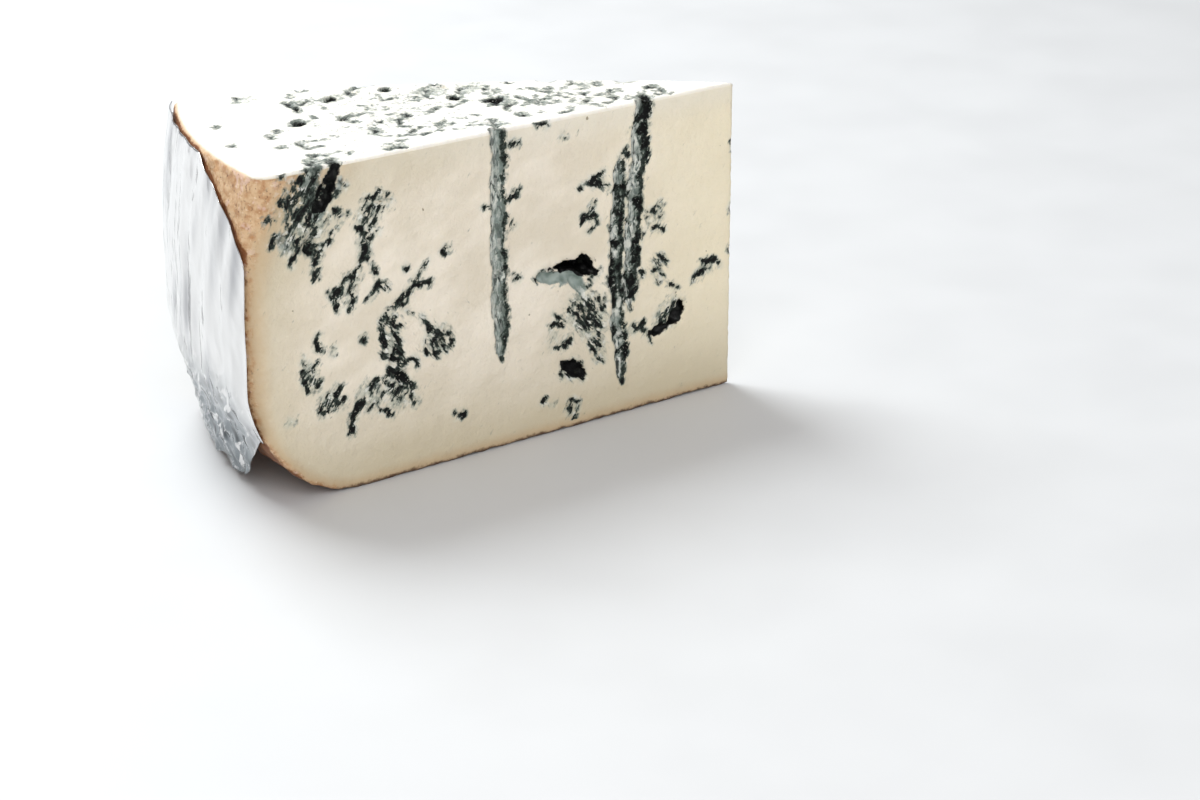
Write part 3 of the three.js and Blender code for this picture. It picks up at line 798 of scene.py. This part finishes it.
def leaning_noise(graph, lean, size, detail):
    """Noise of short dashes, leaning right or left in the plane of the front cut."""
    rulers = [graph.stretched(DASH_STRETCH, (0.0, turn, 0.0)) for turn in DASH_LEANS]
    return graph.blend(lean, *(graph.noise(size, ruler, detail, 0.62, 0.3) for ruler in rulers))


def cream_colour(graph, skin):
    """The paste: cream, warmer towards the tip, with painted light at the top, painted shade at the foot, and
    browner under the rind, partly painted shade.
    """
    clouds = graph.noise(12, graph.stretched((1.8, 1.0, 1.0), (0.0, -0.3, 0.0)), 3.0)
    grain = graph.noise(1.1, detail=4.0, roughness=0.6)
    towards_tip = graph.node("SeparateXYZ", {0: graph.place}).outputs[0]
    height = graph.height()
    cream = graph.mix(graph.rise(clouds, 0.35, 0.65), *CREAM)
    cream = graph.mix(graph.rise(towards_tip, 10, 75, 0.0, 0.8), cream, TIP_CREAM)
    # Painted shade: the paste is darker towards the foot
    cream = graph.mix(graph.rise(height, 36, 0, 0.0, 0.7), cream, FOOT_PAINTED_SHADE)
    # Painted light: the paste is paler towards the top edges
    cream = graph.mix(graph.rise(height, HEIGHT - 9, HEIGHT, 0.0, 0.6), cream, TOP_EDGE_PAINTED_LIGHT)
    cream = graph.mix(graph.rise(grain, 0.25, 0.45, 0.14, 0.0), cream, GRAIN_CREAM)
    # Browner under the rind, partly the paste's own colour and partly painted shade
    cream = graph.mix(graph.rise(skin, 26, 1, 0.0, 0.7), cream, UNDER_RIND_AND_PAINTED_SHADE)
    # Painted light: the top face is paler
    return graph.mix(graph.times(graph.topside(), 0.7), cream, TOP_FACE_PAINTED_LIGHT)


def rind_colour(graph, paste, skin, foil_edge):
    """A tan granular rind with dark pits and pale flecks, with painted shadow in dark brown along the foil's
    edge and at the foot.
    """
    mottle = graph.noise(2.2, detail=5.0, roughness=0.68)
    fine = graph.noise(0.9, detail=3.0, roughness=0.6)
    edge = graph.plus(skin, graph.swing(mottle, 2.6))
    colour = graph.mix(graph.rise(edge, 7.0, 0.6, 0.0, 0.9), paste, UNDER_CRUST)
    crust = graph.mix(graph.rise(mottle, 0.34, 0.64), *CRUST)
    crust = graph.mix(graph.rise(graph.noise(3.4), 0.58, 0.68, 0.0, 0.6), crust, PINK_FLECK)
    crust = graph.mix(graph.rise(fine, 0.6, 0.68, 0.0, 0.7), crust, PALE_FLECK)
    crust = graph.mix(graph.rise(fine, 0.38, 0.32, 0.0, 0.8), crust, CRUST_PIT)
    colour = graph.mix(graph.rise(edge, 2.2, 0.2), colour, crust)
    shaded = graph.plus(foil_edge, graph.swing(fine, 2.0))
    # Painted shadow in dark brown where the foil's edge stands over the rind
    outside = graph.times(graph.rise(shaded, 0.9, -0.1, 0.0, 0.85), graph.rise(edge, 0.8, 0.1))
    colour = graph.mix(outside, colour, FOIL_EDGE_PAINTED_SHADOW)
    # Painted contact shadow in dark brown at the foot, where the wedge meets the floor
    floor_shadow_height = graph.plus(graph.height(), graph.times(mottle, 3.0))
    return graph.mix(graph.rise(floor_shadow_height, 2.9, 1.9, 0.0, 0.8), colour, BASE_PAINTED_SHADOW)


def channel_colour(graph, paste):
    """Slate paste in the needle tracks, with painted light on the left wall, painted shade on the right, and
    streaks.
    """
    streaks = graph.noise(1.3, graph.stretched((0.7, 1.0, 3.0)), 4.0, 0.68)
    threads = graph.noise(1.3, graph.stretched((0.8, 1.0, 2.4)), 3.0, 0.6, 0.6)
    busy = graph.rise(graph.noise(8.0, detail=1.0), 0.42, 0.52)
    sway = graph.swing(streaks, 4.5)
    across = graph.field("across")
    # Painted light and shade: pale towards the lit left wall, dark towards the shaded right wall
    slate = graph.mix(graph.rise(graph.plus(across, sway), -0.9, 0.9), *TRACK_SLATE_LIT_AND_SHADED)
    # A painted highlight in a pale band along the lit left wall of a track
    highlight_band = graph.math("ABSOLUTE", graph.plus(across, graph.plus(sway, 0.55)))
    slate = graph.mix(graph.rise(highlight_band, 0.34, 0.1, 0.0, 0.85), slate, TRACK_WALL_PAINTED_HIGHLIGHT)
    light = graph.times(graph.rise(threads, 0.5, 0.54), busy)
    slate = graph.mix(graph.times(light, 0.9), slate, LIGHT_THREAD)
    dark = graph.times(graph.rise(threads, 0.475, 0.43), graph.rise(busy, 0.0, 1.0, 0.6, 1.0))
    slate = graph.mix(graph.times(dark, 0.9), slate, DARK_THREAD)
    inside = graph.plus(graph.field("channel"), graph.times(streaks, 0.6))
    return graph.mix(graph.rise(inside, 0.2, 0.5), paste, slate)


def slate_colour(graph, paste):
    """Grey-green paste on the hollows' floors, and smoky grey in ragged flat patches."""
    torn = graph.swing(leaning_noise(graph, 1.0, 2.2, 3.0), 2.4)
    smoke = graph.mix(graph.rise(graph.noise(2.8, detail=3.0), 0.38, 0.62), *SMOKE)
    floor = graph.mix(graph.rise(graph.noise(4.0, detail=2.0), 0.35, 0.65), *FLOOR_SLATE)
    colour = graph.mix(graph.rise(graph.plus(graph.field("smoke"), torn), -0.2, 0.7), paste, smoke)
    return graph.mix(graph.rise(graph.plus(graph.field("slate"), torn), -0.1, 0.4), colour, floor)


def mould_reach(graph, torn):
    """How far inside the mould a place lies: in torn strokes, the colonies' dashes or a track's dark rim,
    whose right side is widened as painted shade.
    """
    stroke, colony, rim = (graph.field(name) for name in ("stroke", "colony", "rim"))
    swell = graph.swing(graph.noise(3.2, detail=1.0), 2.4, 0.38)
    lines = graph.plus(graph.plus(stroke, swell), torn)
    dashes = graph.plus(graph.times(colony, 1.95), graph.math("SUBTRACT", torn, 1.4))
    rims = graph.plus(rim, graph.times(graph.plus(swell, torn), 0.6))
    return graph.math("MAXIMUM", graph.math("MAXIMUM", lines, dashes), rims)


def mould_halo(graph):
    """Pale mould in patches round the strokes and in the colonies."""
    by_strokes = graph.rise(graph.field("stroke"), -2.0, 0.2, 0.0, 0.7)
    near = graph.math("MAXIMUM", by_strokes, graph.rise(graph.field("colony"), 0.1, 0.7))
    return graph.times(near, graph.rise(graph.noise(2.6), 0.35, 0.62, 0.2, 1.0))


def paste_material():
    """Cream paste with black-green mould and a brown granular rind."""
    graph = Graph("blue_veined_paste")
    skin = graph.field("skin")
    halo = mould_halo(graph)
    colour = graph.mix(graph.times(halo, 0.75), cream_colour(graph, skin), HALO)
    colour = rind_colour(graph, colour, skin, graph.field("foil_edge"))
    colour = slate_colour(graph, channel_colour(graph, colour))

    # The mould is crisp on the cuts and soft on the top, where it is painted paler as washed out by the light
    coarse, fine = (leaning_noise(graph, graph.field("lean"), *kind) for kind in ((2.0, 3.0), (0.75, 2.0)))
    torn = graph.plus(graph.swing(coarse, 3.0), graph.swing(fine, 2.2))
    reach = mould_reach(graph, torn)
    holes = graph.rise(graph.noise(0.75, detail=2.0), 0.31, 0.37, 0.4, 1.0)
    crisp = graph.times(graph.rise(reach, 0.0, 0.2), holes)
    mould = graph.blend(graph.topside(), crisp, graph.rise(reach, -0.9, 1.1))
    dark = graph.mix(graph.rise(reach, 0.75, 0.1), *MOULD)
    # Painted light: the mould on the top face is greyer and paler
    dark = graph.mix(graph.times(graph.topside(), graph.rise(reach, 1.4, 0.2)), dark, TOP_MOULD_PAINTED_GLARE)

    specks = graph.rise(graph.noise(2.3, detail=1.0), 0.8, 0.83, 0.0, 0.7)
    smoky = graph.times(graph.rise(reach, -0.9, 0.05), graph.rise(graph.noise(1.6), 0.38, 0.62, 0.15, 0.9))
    crumbs = graph.times(graph.rise(graph.noise(1.9, detail=3.0), 0.54, 0.6), halo)
    colour = graph.mix(specks, colour, BROWN_SPECK)
    colour = graph.mix(smoky, colour, WISP)
    colour = graph.mix(graph.times(crumbs, 0.8), colour, CRUMB)
    colour = graph.mix(mould, colour, dark)
    # Painted shade with dark mould, deep in the dark hollows: near black where they are deepest
    pit = graph.mix(graph.rise(graph.noise(1.8, detail=4.0), 0.52, 0.68), *HOLLOW_SHADE_AND_MOULD)
    shade_and_mould_mask = graph.plus(graph.field("shade_and_mould_mask"), graph.times(torn, 0.5))
    colour = graph.mix(graph.rise(shade_and_mould_mask, -0.1, 0.3), colour, pit)

    shader = graph.shader
    grain = graph.noise(1.1, detail=4.0, roughness=0.6)
    graph.feed(shader.inputs["Base Color"], colour)
    graph.feed(shader.inputs["Roughness"], graph.blend(mould, graph.rise(grain, 0.3, 0.7, 0.42, 0.6), 0.8))
    shader.inputs["Specular IOR Level"].default_value = 0.25
    shader.inputs["Subsurface Weight"].default_value = 0.1
    shader.inputs["Subsurface Radius"].default_value = (1.0, 0.8, 0.5)
    shader.inputs["Subsurface Scale"].default_value = 1.0 * MM
    smears = graph.bump(graph.noise(6.0, detail=4.0), 1.2, 0.5)
    grainy = graph.bump(grain, 0.3, 0.6, smears)
    graph.feed(shader.inputs["Normal"], graph.bump(graph.math("SUBTRACT", 1.0, mould), 0.4, 0.6, grainy))
    return graph.material


def foil_material():
    """Bright foil in sharp upright facets, with painted shade on the facets and a painted dark reflection in
    ragged patches at its foot.
    """
    graph = Graph("bright_foil")
    rolled = graph.noise(0.8, graph.stretched((1.0, 1.0, 14.0)), 3.0, 0.6)
    torn = graph.noise(4.0, graph.stretched((1.0, 1.0, 1.8), (0.6, 0.0, 0.0)), 4.0, 0.62, 0.6)
    broad = graph.facets(7.0, graph.stretched((1.0, 1.0, 4.5), (0.16, 0.12, 0.0)))
    narrow = graph.facets(3.2, graph.stretched((1.0, 1.0, 2.4), (-0.3, -0.2, 0.0)))
    # A painted dark reflection and shade in ragged patches at the foil's crumpled foot
    reflection_patches = graph.times(graph.rise(torn, 0.4, 0.47), graph.field("foot"))
    # Painted shade: the foil's facets in lighter and darker greys
    colour = graph.mix(graph.rise(broad, 0.1, 0.6), *FOIL_PAINTED_FACET_SHADE)
    dark_reflection = graph.mix(graph.rise(narrow, 0.15, 0.45), *FOIL_PAINTED_DARK_REFLECTION)
    graph.feed(graph.shader.inputs["Base Color"], graph.mix(graph.times(reflection_patches, 0.9), colour, dark_reflection))
    graph.shader.inputs["Metallic"].default_value = 1.0
    graph.feed(graph.shader.inputs["Roughness"], graph.rise(rolled, 0.3, 0.7, 0.13, 0.19))
    creased = graph.bump(narrow, 0.5, 0.5, graph.bump(broad, 1.5, 0.55))
    graph.feed(graph.shader.inputs["Normal"], graph.bump(rolled, 0.02, 0.2, creased))
    return graph.material


def foil_clearance(points):
    """How far along the rind a place lies in front of the foil's edge, in millimetres."""
    angle = np.arctan2(points[:, 1], -points[:, 0])
    return (front_angle(points[:, 2]) - angle) * RIND_RADIUS


def build_paste():
    """The wedge of cheese."""
    field, low = grid_field()
    places, quads = surface_net(field)
    points = settle(places * CELL + low)
    normals = gradient(paste_distance, points)
    depth = -body_distance(points)
    skin = -wheel_distance(points)
    tracks = nearest(track_distance(points, track) for track in all_tracks())
    across = track_side(points)
    floors = chains_distance(points, SLATE_CHAINS)
    warp = 0.45 * np.stack([value_noise(points, 2.4, seed) for seed in (51, 52, 53)], axis=1)
    stroke, colony, lean = mould_fields(points + warp, normals)
    stroke = np.where(skin < 1.5, -9.0, stroke)
    peeled = smooth(points[:, 2], 50, HEIGHT) * smooth(points[:, 1], 12, 2)
    spread = skin * (1 - 0.8 * peeled) - (0.5 + 0.7 * rough_noise(points, 7.0, 61)) * peeled
    skin = np.where(points[:, 2] > HEIGHT - 0.6, 6.0 * skin, spread)
    skin = skin * (1 + 0.6 * smooth(points[:, 2], RIM_RISE, 14))

    rind = smooth(skin, 1.2, 0.2)
    ragged = rough_noise(points, 3.2, 3)
    relief = 0.12 * value_noise(points, 16, 1) + 0.07 * rough_noise(points, 2.6, 2)
    relief += rind * 0.28 * ragged
    lip = smooth(depth, 0.6, 0.0) * np.exp(-((tracks - 0.7) / 0.5) ** 2)
    mouldy = np.maximum(smooth(stroke, -0.4, 0.5), smooth(colony, 0.35, 1.0) * smooth(ragged, 0.1, 0.6))
    worn = smooth(points[:, 0], -5, -TIP_WORN) * np.abs(rough_noise(points, 2.4, 71))
    relief += 0.2 * lip - 0.5 * mouldy - 0.45 * worn
    points = points + normals * relief[:, None]
    points[:, 2] = np.maximum(points[:, 2], 0.0)

    # A track's dark rim of mould is where its wall meets the cut, and is thicker and reaches deeper on its
    # right side as painted shade of that wall
    right = np.clip(across, 0, 1)
    rim = 0.4 + 0.45 * right - (1.7 - 0.3 * right) * np.abs(tracks + 0.3 * right)
    rim -= (0.9 - 0.5 * right) * np.maximum(depth, 0)
    fields = {
        "stroke": stroke, "colony": colony, "lean": lean, "rim": rim, "skin": skin, "across": across,
        "channel": np.minimum(depth - 0.3, 0.9 - tracks),
        "slate": np.minimum(depth - 0.25, 0.8 - floors),
        "smoke": -0.6 * chains_distance(points, SMOKY_PATCHES),
        "shade_and_mould_mask": np.minimum(depth - 0.35, 0.8 - dark_distance(points)),
        "foil_edge": np.clip(foil_clearance(points), -9, 9),
    }
    piece = make_mesh("cheese_paste", points, quads, paste_material(), fields)
    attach(piece, "root")
    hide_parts("cheese_wedge")
    return piece


# The foil


def hem_height(angle):
    """The height of the foil's torn lower edge at an angle from the front cut."""
    torn = 0.8 * (1 + np.sin(37 * angle) * np.cos(83 * angle))
    down = smooth(angle, 0, HEM_DROP_ANGLE)
    return FOIL_FRONT_HEM + (FOIL_HEM - FOIL_FRONT_HEM) * down + torn


def front_angle(z):
    """The angle of the foil's front edge at a height: it is peeled back at the top."""
    peeled = np.clip((z - FOIL_PEEL_START) / (HEIGHT - FOIL_PEEL_START), 0, 1)
    return FOIL_FRONT_ANGLE + FOIL_PEEL_ANGLE * peeled**FOIL_PEEL_CURVE


def folded(place, width, wander):
    """Sharp parallel folds: 0 in the valleys and 1 on the ridges, bent by the wander."""
    return np.abs((place / width + wander) % 2 - 1)


def foot_crumples(angle, z):
    """Small folds that cross each other, from 0 to 1, and how much the foil is crumpled there."""
    along = RIND_RADIUS * angle
    sheet = np.stack([along, np.zeros_like(angle), z], axis=1)
    drift = [value_noise(sheet, (9.0, 1.0, 12.0), seed) for seed in (46, 47)]
    folds = folded(along + 0.9 * z, 3.4, drift[0]) * folded(along - 1.3 * z, 4.8, drift[1])
    turn = np.degrees(angle)
    return folds, smooth(z, 38, 16) * smooth(turn, 28, 14) * smooth(turn, 0, 5)


def foil_offset(angle, z):
    """How far the foil stands off the rind: upright, slanting and level folds, and crumples at its foot."""
    along = RIND_RADIUS * angle
    sheet = np.stack([along, np.zeros_like(angle), z], axis=1)
    drift = [value_noise(sheet, (16.0, 1.0, 28.0), seed) for seed in (41, 42, 43, 44)]
    upright = folded(along + 0.16 * z, 6.4, 0.9 * drift[0]) * (0.55 + 0.45 * drift[1])
    slanting = folded(along - 0.5 * z, 9.0, 0.9 * drift[2]) * (0.5 + 0.5 * drift[3])
    level = folded(z + 0.3 * along, 12.0, 0.8 * drift[1]) * (0.5 + 0.5 * drift[2])
    folds, foot = foot_crumples(angle, z)
    loose = 1.2 - 0.35 * smooth(z, 10, HEIGHT)
    return FOIL_GAP + loose * np.maximum(0, upright + 0.5 * slanting + 0.5 * level + 0.8 * foot * folds)


def foil_radius(angle, z):
    """The foil's radius: it follows the side, and hangs straight past the rim."""
    hanging = SKIRT_RADIUS + (RIND_RADIUS - SKIRT_RADIUS) * z / RIM_RISE
    return np.maximum(wheel_radius(z), np.where(z < RIM_RISE, hanging, 0)) + foil_offset(angle, z)


def sheet_faces(columns, rows):
    """Quads of a closed thin sheet: its outer side, its inner side, and the edge between them."""
    index = np.arange(columns * rows).reshape(columns, rows)
    side = np.stack([index[:-1, :-1], index[:-1, 1:], index[1:, 1:], index[1:, :-1]], axis=-1).reshape(-1, 4)
    loop = np.concatenate([index[:-1, 0], index[-1, :-1], index[:0:-1, -1], index[0, :0:-1]])
    after = np.roll(loop, -1)
    inner = columns * rows
    edge = np.stack([loop, after, after + inner, loop + inner], axis=1)
    return np.concatenate([side, side[:, ::-1] + inner, edge])


def build_foil():
    """The loose foil over the rind."""
    across, up = np.meshgrid(np.linspace(0, 1, FOIL_COLUMNS), np.linspace(0, 1, FOIL_ROWS), indexing="ij")
    across, up = across.ravel(), up.ravel()
    hem = hem_height(across * FOIL_BACK_ANGLE)
    z = hem + (FOIL_TOP - hem) * up
    start = front_angle(z)
    angle = start + (FOIL_BACK_ANGLE - start) * across
    radius = foil_radius(angle, z)
    layers = [
        np.stack([-r * np.cos(angle), r * np.sin(angle), z], axis=1) for r in (radius, radius - FOIL_SHEET)
    ]
    faces = sheet_faces(FOIL_COLUMNS, FOIL_ROWS)
    fields = {"foot": np.tile(foot_crumples(angle, z)[1], 2)}
    piece = make_mesh("foil_sheet", np.concatenate(layers), faces, foil_material(), fields)
    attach(piece, "root")
    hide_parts("foil_wrap")
    return piece


# The studio, in metres: name, place, width, watts and colour of each light, and the sky's two ends

FLOOR_HALF = 3.0
LIGHTS = [
    ("back_key", (-0.1, 0.7, 0.95), 0.7, 17, (0.94, 0.98, 1.0)),
    ("front_fill", (-0.55, -0.9, 0.75), 0.9, 8.5, (1.0, 1.0, 1.0)),
]
LIGHT_TARGET = (0, 0, 0.04)
SKY_AT_HORIZON = (0.34, 0.34, 0.345, 1)
SKY_ABOVE = (0.53, 0.53, 0.54, 1)
SKY_ABOVE_FROM = 0.8


def build_floor():
    """A wide pale floor under the wedge."""
    mesh = bpy.data.meshes.new("studio_floor")
    corners = [(FLOOR_HALF * x, FLOOR_HALF * y, 0) for x, y in ((-1, -1), (1, -1), (1, 1), (-1, 1))]
    mesh.from_pydata(corners, [], [(0, 1, 2, 3)])
    graph = Graph("pale_floor")
    grain = graph.noise(40, detail=2.0)
    graph.feed(graph.shader.inputs["Base Color"], graph.mix(grain, *FLOOR))
    graph.feed(graph.shader.inputs["Roughness"], graph.rise(grain, 0.3, 0.7, 0.5, 0.6))
    mesh.materials.append(graph.material)
    floor = bpy.data.objects.new("studio_floor", mesh)
    bpy.context.scene.collection.objects.link(floor)


def aim(thing, target):
    """Turns a camera or light to look at a place."""
    thing.rotation_euler = (Vector(target) - thing.location).to_track_quat("-Z", "Y").to_euler()


def soft_light(name, place, size, power, colour):
    """A square studio light aimed at the wedge."""
    light = bpy.data.lights.new(name, "AREA")
    light.size = size
    light.energy = power
    light.color = colour
    holder = bpy.data.objects.new(name, light)
    holder.location = place
    aim(holder, LIGHT_TARGET)
    bpy.context.scene.collection.objects.link(holder)


def build_lights():
    """A key from behind, a fill in front, and a sky that darkens towards the horizon."""
    for light in LIGHTS:
        soft_light(*light)
    world = bpy.data.worlds.new("studio_world")
    bpy.context.scene.world = world
    world.use_nodes = True
    tree = world.node_tree
    way = tree.nodes.new("ShaderNodeTexCoord").outputs["Generated"]
    parts = tree.nodes.new("ShaderNodeSeparateXYZ")
    sky = tree.nodes.new("ShaderNodeValToRGB")
    sky.color_ramp.elements[0].color = SKY_AT_HORIZON
    sky.color_ramp.elements[1].color = SKY_ABOVE
    sky.color_ramp.elements[1].position = SKY_ABOVE_FROM
    tree.links.new(way, parts.inputs[0])
    tree.links.new(parts.outputs[2], sky.inputs[0])
    tree.links.new(sky.outputs[0], tree.nodes["Background"].inputs["Color"])


def build_camera():
    """The photograph's view."""
    flat = math.cos(VIEW_PITCH)
    toward = np.array([
        math.sin(VIEW_AZIMUTH) * flat, math.cos(VIEW_AZIMUTH) * flat, -math.sin(VIEW_PITCH),
    ])
    lens = bpy.data.cameras.new("photo_camera")
    lens.sensor_width = SENSOR
    lens.lens = FOCAL_WIDTHS * SENSOR
    lens.clip_end = 20
    camera = bpy.data.objects.new("photo_camera", lens)
    camera.location = in_frame(LOOK_AT - VIEW_DISTANCE * toward)
    aim(camera, in_frame(LOOK_AT))
    bpy.context.scene.collection.objects.link(camera)
    bpy.context.scene.camera = camera


build_camera()
build_lights()
build_floor()
build_paste()
build_foil()
bpy.context.scene.view_settings.view_transform = "Standard"
